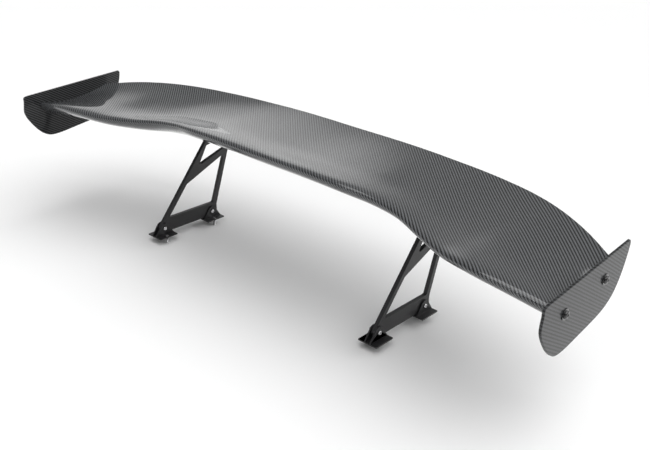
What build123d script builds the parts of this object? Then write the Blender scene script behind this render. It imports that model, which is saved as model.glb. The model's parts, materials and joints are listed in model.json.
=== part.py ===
"""Racing rear wing: a full-width carbon aerofoil with end plates, on two plate stands with tilting feet.

Frame: +X across the car, +Y rearwards, +Z up. The origin lies midway between the four mounting studs,
on the plane of the feet's undersides. All sizes are in millimetres.
"""

import os
from math import atan2, cos, degrees, hypot, pi, radians, sin, sqrt

from build123d import *

os.makedirs("parts", exist_ok=True)

# Span and skins
half_span = 775.0  # to the outer face of an end plate
end_plate_thickness = 5.5
wing_half_span = half_span - end_plate_thickness
skin_thickness = 1.4
bond_gap = 0.1  # adhesive between a skin and what it covers
glue_line = 0.3  # adhesive between the two skins at the nose
half_tail_thickness = 1.7
half_section_thickness = 18.0
camber_depth = 28.0
camber_place = 0.42  # deepest camber, as a part of the chord
thickest_place = 0.28  # thickest point, as a part of the chord
nose_bluntness = 2.72  # exponent of the nose curve
surface_points = 16
loft_sections = 37

# Half of the span: station, nose y, nose z, tail y, tail z. The other half mirrors it.
SPAN_STATIONS = (
    (0.0, -92.0, 318.0, 258.0, 300.0),
    (150.0, -95.0, 320.0, 258.0, 300.0),
    (230.0, -89.0, 315.0, 256.0, 299.0),
    (300.0, -73.0, 304.0, 251.0, 298.0),
    (370.0, -73.0, 294.0, 243.0, 298.0),
    (450.0, -102.0, 285.0, 228.0, 298.0),
    (520.0, -136.0, 285.0, 205.0, 300.0),
    (600.0, -164.0, 291.0, 168.0, 301.0),
    (690.0, -164.0, 282.0, 114.0, 297.0),
    (wing_half_span, -152.0, 266.0, 59.0, 286.0),
)

# Wing structure
web_y = 20.0
web_thickness = 4.0
tip_rib_width = 12.0
hard_point_width = 56.0
hard_point_front = 60.0
hard_point_rear = 172.0
structure_z = 280.0
structure_height = 200.0  # taller than any section
far_y = 400.0  # past the nose and the tail

# Fasteners: M6 everywhere but the end plates, which have M8
m6_radius = 3.0
m6_head_radius = 5.25
m6_head_height = 2.6
m6_nut_radius = 5.77
m6_nut_height = 6.0
hex_socket_radius = 2.3
hex_socket_depth = 1.6
washer_radius = 6.2
washer_thickness = 0.8
bolt_past_nut = 1.5
running_clearance = 0.05
m8_radius = 4.0
m8_head_radius = 7.5
m8_head_height = 4.4
m8_socket_radius = 2.9
m8_socket_depth = 2.4
end_washer_radius = 11.0
end_washer_thickness = 1.8
insert_wall = 2.0
insert_length = 12.0
end_bolt_length = 17.0
END_BOLT_PLACES = ((-123.0, 256.0), (19.0, 268.0))

# Stands
stand_x = 355.0
stand_thickness = 10.0
stand_gap = 0.3  # between a stand plate and the ears on each side of it
foot_pivot_y = 80.0
foot_pivot_z = 20.0

# Feet
foot_width = 50.0
foot_length = 56.6
foot_plate_thickness = 3.0
ear_thickness = 3.5
ear_round = 13.5
ear_apex_z = 43.8  # where an ear's sides would meet, which puts the rounded top on the pivot
stud_offset = 17.0  # inboard of the stand's middle plane
stud_reach = 18.0
stud_head_radius = 4.6
stud_head_thickness = 1.2
stud_shoulder_radius = 3.6  # ribbed part pressed into the foot plate
stud_chamfer = 0.7
foot_corner = 2.0
heel_round = 0.4  # where an ear meets its plate

# Mounting brackets under the wing
bracket_y = 115.0
bracket_z = 252.4  # the bracket's upper face at bracket_y
bracket_slope = radians(9.0)
bracket_length = 108.0
bracket_plate_thickness = 3.0
pivot_drop = 23.0
front_pivot_place = -33.4  # along the bracket from its middle
rear_pivot_place = 26.7
web_round = 10.0
pad_height = 16.0
screw_spread = 17.0
screw_place = 42.0
screw_length = 27.0
bracket_corner = 3.0
web_inset = 2.0  # from the plate's end to the web's end
incidence_travel = 4.0  # degrees each way
slot_clearance = 0.1

# Distances from a stand's middle plane
ear_inner = stand_thickness / 2 + stand_gap
ear_outer = ear_inner + ear_thickness
head_seat = ear_outer + washer_thickness

SIDES = (("left", -1.0), ("right", 1.0))
FOOT_ROWS = (("front", -foot_pivot_y), ("rear", foot_pivot_y))


def save(part, label):
    """Label a finished piece and write its STEP file."""
    part.label = label
    export_step(part, f"parts/{label}.step")


# ----------------------------------------------------------------------------------------------
# Aerofoil sections


def station_slopes():
    """Spanwise slope of each station value, zero at the middle of the wing."""
    slopes = [(0.0,) * 4]
    for before, here, after in zip(SPAN_STATIONS, SPAN_STATIONS[1:], SPAN_STATIONS[2:]):
        left_width = here[0] - before[0]
        right_width = after[0] - here[0]
        row = []
        for column in range(1, 5):
            left_slope = (here[column] - before[column]) / left_width
            right_slope = (after[column] - here[column]) / right_width
            row.append((left_slope * right_width + right_slope * left_width) / (left_width + right_width))
        slopes.append(tuple(row))
    inner, tip = SPAN_STATIONS[-2:]
    slopes.append(tuple((tip[k] - inner[k]) / (tip[0] - inner[0]) for k in range(1, 5)))
    return slopes


STATION_SLOPES = station_slopes()


def station_at(x):
    """Nose y, nose z, tail y and tail z at span position x, by cubic blending of the stations."""
    span = min(abs(x), wing_half_span)
    index = 0
    while index < len(SPAN_STATIONS) - 2 and span > SPAN_STATIONS[index + 1][0]:
        index += 1
    start, end = SPAN_STATIONS[index], SPAN_STATIONS[index + 1]
    width = end[0] - start[0]
    t = (span - start[0]) / width
    values = []
    for column in range(1, 5):
        start_slope = STATION_SLOPES[index][column - 1] * width
        end_slope = STATION_SLOPES[index + 1][column - 1] * width
        value = (2 * t**3 - 3 * t**2 + 1) * start[column] + (t**3 - 2 * t**2 + t) * start_slope
        value += (3 * t**2 - 2 * t**3) * end[column] + (t**3 - t**2) * end_slope
        values.append(value)
    return values


def camber_at(place):
    """Depth of the camber line below the chord, at a part of the chord."""
    if place < camber_place:
        return camber_depth * place * (2 * camber_place - place) / camber_place**2
    rest = 1 - camber_place
    return camber_depth * (1 - 2 * camber_place + 2 * camber_place * place - place**2) / rest**2


def half_thickness_at(place, inset):
    """Half of the section's thickness at a part of the chord, inside the outer surface by inset."""
    full = half_section_thickness - inset
    tail = half_tail_thickness - inset
    if place < thickest_place:
        return full * sqrt(1 - (1 - place / thickest_place) ** nose_bluntness) + tail * place
    return full * (1 - ((place - thickest_place) / (1 - thickest_place)) ** 2) + tail * place


def surface(x, inset, side):
    """Points from nose to tail on the upper (side 1) or lower (side -1) surface, as (y, z)."""
    nose_y, nose_z, tail_y, tail_z = station_at(x)
    chord = hypot(tail_y - nose_y, tail_z - nose_z)
    along = ((tail_y - nose_y) / chord, (tail_z - nose_z) / chord)
    points = []
    for number in range(surface_points):
        own_place = (1 - cos(pi * number / (surface_points - 1))) / 2
        run = inset + own_place * (chord - inset)
        half = half_thickness_at(own_place, inset) + glue_line / 2
        rise = side * half - camber_at(run / chord)
        points.append((nose_y + run * along[0] - rise * along[1], nose_z + run * along[1] + rise * along[0]))
    return points


def surface_curve(points, side, x):
    """A smooth curve through surface points, square to the chord at the nose."""
    nose_y, nose_z, tail_y, tail_z = station_at(x)
    start = Vector(-side * (tail_z - nose_z), side * (tail_y - nose_y)).normalized()
    end = (Vector(*points[-1]) - Vector(*points[-2])).normalized()
    Spline(*points, tangents=[start, end], tangent_scalars=[1.0, 1.0])


def loft_places():
    """Span positions of the lofted sections, from left tip to right tip."""
    step = 2 * wing_half_span / (loft_sections - 1)
    return [-wing_half_span + step * number for number in range(loft_sections)]


def section_sketch(x, inset):
    """Closed section of everything inside the outer surface by inset."""
    upper = surface(x, inset, 1)
    lower = surface(x, inset, -1)
    with BuildSketch(Plane.YZ.offset(x)) as section:
        with BuildLine():
            surface_curve(upper, 1, x)
            Line(upper[-1], lower[-1])
            surface_curve(lower, -1, x)
            Line(lower[0], upper[0])
        make_face()
    return section.sketch


def skin_sketch(x, side):
    """Section of the upper or lower skin."""
    outer = surface(x, 0.0, side)
    inner = surface(x, skin_thickness, side)
    with BuildSketch(Plane.YZ.offset(x)) as section:
        with BuildLine():
            surface_curve(outer, side, x)
            Line(outer[-1], inner[-1])
            surface_curve(inner, side, x)
            Line(inner[0], outer[0])
        make_face()
    return section.sketch


# ----------------------------------------------------------------------------------------------
# Placing


def bracket_point(along, drop):
    """(y, z) of a point along a mounting bracket and below its upper face."""
    y = bracket_y + along * cos(bracket_slope) + drop * sin(bracket_slope)
    z = bracket_z + along * sin(bracket_slope) - drop * cos(bracket_slope)
    return (y, z)


def bracket_plane(sign):
    """Plane of a bracket's upper face, its own x across the car and y along the bracket."""
    normal = (0, -sin(bracket_slope), cos(bracket_slope))
    return Plane(origin=(sign * stand_x, bracket_y, bracket_z), x_dir=(1, 0, 0), z_dir=normal)


FRONT_PIVOT = bracket_point(front_pivot_place, pivot_drop)
REAR_PIVOT = bracket_point(rear_pivot_place, pivot_drop)
BRACKET_SCREWS = [(dx, dy) for dx in (-screw_spread, screw_spread) for dy in (-screw_place, screw_place)]


def across(x, y, z):
    """Plane at a point with its normal along +X, for what lies across the car."""
    return Plane(origin=(x, y, z), x_dir=(0, 1, 0), z_dir=(1, 0, 0))


def cross_bolt(x, y, z):
    """M6 button-head bolt along X through both ears, its head on the +X side."""
    tip = -head_seat - m6_nut_height - bolt_past_nut
    with BuildPart() as bolt:
        with BuildSketch(across(x + tip, y, z)):
            Circle(m6_radius)
        extrude(amount=head_seat - tip)
        with BuildSketch(across(x + head_seat, y, z)):
            Circle(m6_head_radius)
        extrude(amount=m6_head_height)
        with BuildSketch(across(x + head_seat + m6_head_height, y, z)):
            RegularPolygon(hex_socket_radius, 6)
        extrude(amount=-hex_socket_depth, mode=Mode.SUBTRACT)
    return bolt.part


def cross_nut(x, y, z):
    """Locknut on the -X end of a cross bolt."""
    with BuildPart() as nut:
        with BuildSketch(across(x - head_seat - m6_nut_height, y, z)):
            RegularPolygon(m6_nut_radius, 6)
            Circle(m6_radius, mode=Mode.SUBTRACT)
        extrude(amount=m6_nut_height)
    return nut.part


def cross_washers(x, y, z):
    """The washers under the head and the nut of a cross bolt."""
    with BuildPart() as washers:
        for start in (ear_outer, -head_seat):
            with BuildSketch(across(x + start, y, z)):
                Circle(washer_radius)
                Circle(m6_radius, mode=Mode.SUBTRACT)
            extrude(amount=washer_thickness)
    return washers.part


# ----------------------------------------------------------------------------------------------
# Stands

STAND_OUTLINE = (
    # corner (y, z), radius
    ((-104.5, 7.0), 13.0),
    ((100.5, 7.0), 11.0),
    ((99.5, 36.0), 12.0),
    ((162.5, 249.3), 12.5),
    ((78.9, 236.0), 12.5),
)
LOWER_OPENING = (
    ((-61.5, 43.0), 3.0),
    ((88.3, 43.0), 5.0),
    ((128.5, 172.6), 5.0),
    ((0.4, 119.4), 10.0),
)
UPPER_OPENING = (
    ((42.0, 160.5), 3.0),
    ((129.0, 188.5), 4.0),
    ((143.5, 221.1), 4.0),
    ((69.3, 209.3), 4.0),
)


def rounded_outline(corners):
    """Closed polyline with its own radius at each corner."""
    points = [point for point, radius in corners]
    radii = [radius for point, radius in corners]
    FilletPolyline(*points, radius=radii, close=True)


for side, sign in SIDES:
    with BuildPart() as stand:
        with BuildSketch(Plane.YZ.offset(sign * stand_x)):
            with BuildLine():
                rounded_outline(STAND_OUTLINE)
            make_face()
            for opening in (LOWER_OPENING, UPPER_OPENING):
                with BuildLine():
                    rounded_outline(opening)
                make_face(mode=Mode.SUBTRACT)
            with Locations((-foot_pivot_y, foot_pivot_z), (foot_pivot_y, foot_pivot_z), FRONT_PIVOT):
                Circle(m6_radius + running_clearance, mode=Mode.SUBTRACT)
            # The rear bolt's slot is an arc about the front pivot.
            reach = hypot(REAR_PIVOT[0] - FRONT_PIVOT[0], REAR_PIVOT[1] - FRONT_PIVOT[1])
            rest_angle = degrees(atan2(REAR_PIVOT[1] - FRONT_PIVOT[1], REAR_PIVOT[0] - FRONT_PIVOT[0]))
            with BuildLine(mode=Mode.PRIVATE) as slot_path:
                CenterArc(FRONT_PIVOT, reach, rest_angle - incidence_travel, 2 * incidence_travel)
            SlotArc(slot_path.edge(), 2 * (m6_radius + slot_clearance), mode=Mode.SUBTRACT)
        extrude(amount=stand_thickness / 2, both=True)
    save(stand.part, f"{side}_stand")

# ----------------------------------------------------------------------------------------------
# Feet, each with its stud and pivot bolt

for side, sign in SIDES:
    for row, foot_y in FOOT_ROWS:
        name = f"{side}_{row}_foot"
        foot_x = sign * stand_x
        stud_x = foot_x - sign * stud_offset

        with BuildPart() as foot:
            with BuildSketch(Plane.XY):
                with Locations((foot_x, foot_y)):
                    RectangleRounded(foot_width, foot_length, foot_corner)
            extrude(amount=foot_plate_thickness)
            for inner_x in (foot_x + ear_inner, foot_x - ear_outer):
                with BuildSketch(Plane.YZ.offset(inner_x)):
                    with BuildLine():
                        base_z = foot_plate_thickness
                        heel = (foot_y - foot_length / 2, base_z)
                        toe = (foot_y + foot_length / 2, base_z)
                        rounds = [heel_round, heel_round, ear_round]
                        FilletPolyline(heel, toe, (foot_y, ear_apex_z), radius=rounds, close=True)
                    make_face()
                    with Locations((foot_y, foot_pivot_z)):
                        Circle(m6_radius + running_clearance, mode=Mode.SUBTRACT)
                extrude(amount=ear_thickness)
            with Locations((stud_x, foot_y, foot_plate_thickness)):
                CounterBoreHole(
                    stud_shoulder_radius, stud_head_radius, stud_head_thickness, foot_plate_thickness
                )
        save(foot.part, name)

        with BuildPart() as stud:
            with BuildSketch(Plane.XY.offset(-stud_reach)):
                with Locations((stud_x, foot_y)):
                    Circle(m6_radius)
            extrude(amount=stud_reach)
            chamfer(stud.faces().sort_by(Axis.Z)[0].edges(), stud_chamfer)
            with BuildSketch(Plane.XY):
                with Locations((stud_x, foot_y)):
                    Circle(stud_shoulder_radius)
            extrude(amount=foot_plate_thickness - stud_head_thickness)
            with BuildSketch(Plane.XY.offset(foot_plate_thickness - stud_head_thickness)):
                with Locations((stud_x, foot_y)):
                    Circle(stud_head_radius)
            extrude(amount=stud_head_thickness)
        save(stud.part, f"{name}_stud")

        save(cross_bolt(foot_x, foot_y, foot_pivot_z), f"{name}_bolt")
        save(cross_nut(foot_x, foot_y, foot_pivot_z), f"{name}_nut")
        save(cross_washers(foot_x, foot_y, foot_pivot_z), f"{name}_washers")

# ----------------------------------------------------------------------------------------------
# Wing mounting brackets, their pads, screws and cross bolts

with BuildPart() as envelope:
    loft([section_sketch(place, 0.0) for place in loft_places()])

for side, sign in SIDES:
    with BuildPart() as pad:
        with BuildSketch(bracket_plane(sign)):
            RectangleRounded(foot_width, bracket_length, bracket_corner)
            with Locations(*BRACKET_SCREWS):
                Circle(m6_radius, mode=Mode.SUBTRACT)
        extrude(amount=pad_height)
        add(envelope.part, mode=Mode.SUBTRACT)
    save(pad.part.solids().sort_by(Axis.Z)[0], f"{side}_mount_pad")

    with BuildPart() as bracket:
        with BuildSketch(bracket_plane(sign)):
            RectangleRounded(foot_width, bracket_length, bracket_corner)
            with Locations(*BRACKET_SCREWS):
                Circle(m6_radius, mode=Mode.SUBTRACT)
        extrude(amount=-bracket_plate_thickness)
        for inner_x in (sign * stand_x + ear_inner, sign * stand_x - ear_outer):
            with BuildSketch(Plane.YZ.offset(inner_x)):
                with BuildLine():
                    low = pivot_drop + web_round
                    FilletPolyline(
                        bracket_point(web_inset - bracket_length / 2, bracket_plate_thickness),
                        bracket_point(front_pivot_place - web_round, low),
                        bracket_point(rear_pivot_place + web_round, low),
                        bracket_point(bracket_length / 2 - web_inset, bracket_plate_thickness),
                        radius=[heel_round, web_round, web_round, heel_round],
                        close=True,
                    )
                make_face()
                with Locations(FRONT_PIVOT, REAR_PIVOT):
                    Circle(m6_radius + running_clearance, mode=Mode.SUBTRACT)
            extrude(amount=ear_thickness)
    save(bracket.part, f"{side}_mount_bracket")

with BuildPart() as bracket_screws:
    for side, sign in SIDES:
        for dx, dy in BRACKET_SCREWS:
            seat = bracket_plane(sign).offset(-bracket_plate_thickness)
            with BuildSketch(seat):
                with Locations((dx, dy)):
                    Circle(m6_radius)
            extrude(amount=screw_length)
            with BuildSketch(seat):
                with Locations((dx, dy)):
                    Circle(m6_head_radius)
            extrude(amount=-m6_head_height)
            with BuildSketch(seat.offset(-m6_head_height)):
                with Locations((dx, dy)):
                    RegularPolygon(hex_socket_radius, 6)
            extrude(amount=hex_socket_depth, mode=Mode.SUBTRACT)
save(bracket_screws.part, "bracket_screws")

with BuildPart() as wing_pivot_bolts:
    for side, sign in SIDES:
        add(cross_bolt(sign * stand_x, *FRONT_PIVOT))
save(wing_pivot_bolts.part, "wing_pivot_bolts")

with BuildPart() as incidence_bolts:
    for side, sign in SIDES:
        add(cross_bolt(sign * stand_x, *REAR_PIVOT))
save(incidence_bolts.part, "incidence_bolts")

with BuildPart() as wing_mount_nuts:
    for side, sign in SIDES:
        for pivot in (FRONT_PIVOT, REAR_PIVOT):
            add(cross_nut(sign * stand_x, *pivot))
save(wing_mount_nuts.part, "wing_mount_nuts")

with BuildPart() as wing_mount_washers:
    for side, sign in SIDES:
        for pivot in (FRONT_PIVOT, REAR_PIVOT):
            add(cross_washers(sign * stand_x, *pivot))
save(wing_mount_washers.part, "wing_mount_washers")

# ----------------------------------------------------------------------------------------------
# Skins, with clearance holes for the bracket screws in the lower one

with BuildPart() as upper_skin:
    loft([skin_sketch(place, 1) for place in loft_places()])
save(upper_skin.part, "wing_upper_skin")

with BuildPart() as screw_ways:
    for side, sign in SIDES:
        with BuildSketch(bracket_plane(sign)):
            with Locations(*BRACKET_SCREWS):
                Circle(m6_radius)
        extrude(amount=screw_length - bracket_plate_thickness)

with BuildPart() as lower_skin:
    loft([skin_sketch(place, -1) for place in loft_places()])
    add(screw_ways.part, mode=Mode.SUBTRACT)
save(lower_skin.part, "wing_lower_skin")

# ----------------------------------------------------------------------------------------------
# What the skins enclose: foam, a shear web, tip ribs, hard points and threaded inserts

with BuildPart() as inside:
    loft([section_sketch(place, skin_thickness + bond_gap) for place in loft_places()])

foam_half_span = wing_half_span - tip_rib_width
web_front = web_y - web_thickness / 2
web_rear = web_y + web_thickness / 2


def keep_box(x_low, x_high, y_low, y_high, mode=Mode.INTERSECT):
    """Keep or cut the part of the wing's inside between these limits."""
    with Locations(((x_low + x_high) / 2, (y_low + y_high) / 2, structure_z)):
        Box(x_high - x_low, y_high - y_low, structure_height, mode=mode)


insert_start = screw_length - bracket_plate_thickness - insert_length

with BuildPart() as screw_inserts:
    for side, sign in SIDES:
        with BuildSketch(bracket_plane(sign).offset(insert_start)):
            with Locations(*BRACKET_SCREWS):
                Circle(m6_radius + insert_wall)
                Circle(m6_radius, mode=Mode.SUBTRACT)
        extrude(amount=insert_length)
save(screw_inserts.part, "screw_inserts")

with BuildPart() as insert_pockets:
    for side, sign in SIDES:
        with BuildSketch(bracket_plane(sign).offset(insert_start)):
            with Locations(*BRACKET_SCREWS):
                Circle(m6_radius + insert_wall)
        extrude(amount=insert_length)

with BuildPart() as front_foam:
    add(inside.part)
    keep_box(-foam_half_span, foam_half_span, -far_y, web_front)
save(front_foam.part, "front_foam_core")

with BuildPart() as shear_web:
    add(inside.part)
    keep_box(-foam_half_span, foam_half_span, web_front, web_rear)
save(shear_web.part, "shear_web")

with BuildPart() as rear_foam:
    add(inside.part)
    keep_box(-foam_half_span, foam_half_span, web_rear, far_y)
    for side, sign in SIDES:
        middle = sign * stand_x
        keep_box(
            middle - hard_point_width / 2,
            middle + hard_point_width / 2,
            hard_point_front,
            hard_point_rear,
            mode=Mode.SUBTRACT,
        )
save(rear_foam.part, "rear_foam_core")

for side, sign in SIDES:
    middle = sign * stand_x
    with BuildPart() as hard_point:
        add(inside.part)
        keep_box(
            middle - hard_point_width / 2, middle + hard_point_width / 2, hard_point_front, hard_point_rear
        )
        add(screw_ways.part, mode=Mode.SUBTRACT)
        add(insert_pockets.part, mode=Mode.SUBTRACT)
    save(hard_point.part, f"{side}_hard_point")

    rib_middle = sign * (wing_half_span - tip_rib_width / 2)
    with BuildPart() as tip_rib:
        add(inside.part)
        keep_box(rib_middle - tip_rib_width / 2, rib_middle + tip_rib_width / 2, -far_y, far_y)
        with BuildSketch(Plane.YZ.offset(rib_middle)):
            with Locations(*END_BOLT_PLACES):
                Circle(m8_radius + insert_wall)
        extrude(amount=tip_rib_width, both=True, mode=Mode.SUBTRACT)
    save(tip_rib.part, f"{side}_tip_rib")

with BuildPart() as tip_inserts:
    for side, sign in SIDES:
        with BuildSketch(Plane.YZ.offset(sign * (wing_half_span - tip_rib_width / 2))):
            with Locations(*END_BOLT_PLACES):
                Circle(m8_radius + insert_wall)
                Circle(m8_radius, mode=Mode.SUBTRACT)
        extrude(amount=insert_length / 2, both=True)
save(tip_inserts.part, "tip_inserts")

# ----------------------------------------------------------------------------------------------
# End plates with their bolts and washers

PLATE_FRONT_TOP = (-182.0, 298.0)
PLATE_REAR_TOP = (103.5, 317.4)
PLATE_REAR_TIP = (106.5, 313.0)
PLATE_EDGE = (
    PLATE_REAR_TIP,
    (101.0, 282.0),
    (88.0, 249.0),
    (66.0, 219.0),
    (31.0, 200.0),
    (-20.0, 189.5),
    (-75.0, 181.0),
    (-112.0, 177.0),
    (-134.0, 179.0),
    (-158.0, 193.0),
    (-184.0, 223.0),
    (-200.0, 258.0),
    (-198.0, 285.0),
    PLATE_FRONT_TOP,
)

for side, sign in SIDES:
    with BuildPart() as end_plate:
        with BuildSketch(Plane.YZ.offset(sign * (half_span - end_plate_thickness / 2))):
            with BuildLine():
                Spline(*PLATE_EDGE, tangents=[(0, -1), (1, 0.07)])
                Polyline(PLATE_FRONT_TOP, PLATE_REAR_TOP, PLATE_REAR_TIP)
            make_face()
            with Locations(*END_BOLT_PLACES):
                Circle(m8_radius + running_clearance, mode=Mode.SUBTRACT)
        extrude(amount=end_plate_thickness / 2, both=True)
    save(end_plate.part, f"{side}_end_plate")

with BuildPart() as end_plate_washers:
    for side, sign in SIDES:
        with BuildSketch(Plane.YZ.offset(sign * (half_span + end_washer_thickness / 2))):
            with Locations(*END_BOLT_PLACES):
                Circle(end_washer_radius)
                Circle(m8_radius, mode=Mode.SUBTRACT)
        extrude(amount=end_washer_thickness / 2, both=True)
save(end_plate_washers.part, "end_plate_washers")

with BuildPart() as end_plate_bolts:
    for side, sign in SIDES:
        seat_x = sign * (half_span + end_washer_thickness)
        with BuildSketch(Plane.YZ.offset(seat_x)):
            with Locations(*END_BOLT_PLACES):
                Circle(m8_radius)
        extrude(amount=-sign * end_bolt_length)
        with BuildSketch(Plane.YZ.offset(seat_x)):
            with Locations(*END_BOLT_PLACES):
                Circle(m8_head_radius)
        extrude(amount=sign * m8_head_height)
        with BuildSketch(Plane.YZ.offset(seat_x + sign * m8_head_height)):
            with Locations(*END_BOLT_PLACES):
                RegularPolygon(m8_socket_radius, 6)
        extrude(amount=-sign * m8_socket_depth, mode=Mode.SUBTRACT)
save(end_plate_bolts.part, "end_plate_bolts")
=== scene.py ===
"""Looks of the racing rear wing: its carbon shell, end plates, stands, feet and fasteners."""

import json
import logging
from dataclasses import dataclass, field
from enum import Enum
from math import cos, hypot, pi, radians, sin, sqrt, tau

import bmesh
import bpy
from mathutils import Matrix, Vector


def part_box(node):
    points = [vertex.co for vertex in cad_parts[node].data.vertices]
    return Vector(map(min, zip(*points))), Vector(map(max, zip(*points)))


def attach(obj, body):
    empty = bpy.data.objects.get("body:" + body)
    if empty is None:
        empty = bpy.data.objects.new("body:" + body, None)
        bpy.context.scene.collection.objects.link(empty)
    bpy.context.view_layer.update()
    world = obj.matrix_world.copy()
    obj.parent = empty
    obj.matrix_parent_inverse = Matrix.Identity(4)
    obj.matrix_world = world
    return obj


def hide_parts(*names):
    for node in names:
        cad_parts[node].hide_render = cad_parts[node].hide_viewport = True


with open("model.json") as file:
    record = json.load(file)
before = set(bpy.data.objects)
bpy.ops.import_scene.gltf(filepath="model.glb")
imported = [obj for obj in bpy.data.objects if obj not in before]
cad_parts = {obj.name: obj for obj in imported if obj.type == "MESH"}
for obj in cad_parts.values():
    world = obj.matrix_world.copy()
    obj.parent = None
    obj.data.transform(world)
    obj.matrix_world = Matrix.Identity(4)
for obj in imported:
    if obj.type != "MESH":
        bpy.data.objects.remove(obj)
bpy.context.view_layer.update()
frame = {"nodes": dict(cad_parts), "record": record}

MM = 0.001
CLOTH_MAP = "cloth"
SIDES = (("left", -1.0), ("right", 1.0))
ROWS = ("front", "rear")
STAND_X = 355.0  # middle of each stand's plate from the middle of the wing, in millimetres
MERGE_DISTANCE = 2e-6  # in metres
FLAT_ANGLE = radians(0.4)
EDGE_ANGLE = radians(38.0)
EDGE_STEPS = 3
CREASE_ANGLE = radians(32.0)
AREA_WEIGHT = 100

log = logging.getLogger("rear_wing")


# ------------------------------------------------------------------------------------------------
# Shader node groups and finishes


class NodeGraph:
    """Short ways to add and join nodes in one node tree."""

    def __init__(self, tree: bpy.types.NodeTree) -> None:
        """Keep the tree that the nodes go into."""
        self.tree = tree

    def add(self, kind: str, **settings: object) -> bpy.types.Node:
        """Add a node.

        Args:
            kind: the node's type name.
            settings: its properties and their values.

        Returns:
            The new node.
        """
        node = self.tree.nodes.new(kind)
        for name, value in settings.items():
            setattr(node, name, value)
        return node

    def join(self, start: bpy.types.NodeSocket, end: bpy.types.NodeSocket) -> None:
        """Link an output to an input."""
        self.tree.links.new(start, end)

    def sum(self, operation: str, *values: object) -> bpy.types.NodeSocket:
        """Add a maths node.

        Args:
            operation: the maths node's operation.
            values: sockets or plain numbers, in order.

        Returns:
            The node's output.
        """
        node = self.add("ShaderNodeMath", operation=operation)
        for index, value in enumerate(values):
            if isinstance(value, bpy.types.NodeSocket):
                self.join(value, node.inputs[index])
            else:
                node.inputs[index].default_value = value
        return node.outputs[0]

    def blend(self, share: bpy.types.NodeSocket, low: object, high: object) -> bpy.types.NodeSocket:
        """Mix two numbers, given as sockets or values, by a share from 0 to 1."""
        node = self.add("ShaderNodeMix", data_type="FLOAT")
        self.join(share, node.inputs[0])
        for index, value in ((2, low), (3, high)):
            if isinstance(value, bpy.types.NodeSocket):
                self.join(value, node.inputs[index])
            else:
                node.inputs[index].default_value = value
        return node.outputs[0]

    def noise(
        self, place: bpy.types.NodeSocket, scale: object, detail: float
    ) -> bpy.types.NodeSocket:
        """Add a noise texture and return its factor."""
        node = self.add("ShaderNodeTexNoise")
        self.join(place, node.inputs["Vector"])
        if isinstance(scale, bpy.types.NodeSocket):
            self.join(scale, node.inputs["Scale"])
        else:
            node.inputs["Scale"].default_value = scale
        node.inputs["Detail"].default_value = detail
        return node.outputs["Fac"]


def new_group(
    name: str, inputs: dict[str, tuple[str, object]], outputs: dict[str, str]
) -> tuple[NodeGraph, bpy.types.Node, bpy.types.Node]:
    """Start a shader node group.

    Args:
        name: the group's name.
        inputs: input names with socket type and starting value.
        outputs: output names with socket type.

    Returns:
        The group's graph, its input node and its output node.
    """
    tree = bpy.data.node_groups.new(name, "ShaderNodeTree")
    for label, (kind, value) in inputs.items():
        socket = tree.interface.new_socket(name=label, in_out="INPUT", socket_type=kind)
        if value is not None:
            socket.default_value = value
    for label, kind in outputs.items():
        tree.interface.new_socket(name=label, in_out="OUTPUT", socket_type=kind)
    graph = NodeGraph(tree)
    return graph, graph.add("NodeGroupInput"), graph.add("NodeGroupOutput")


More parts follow.
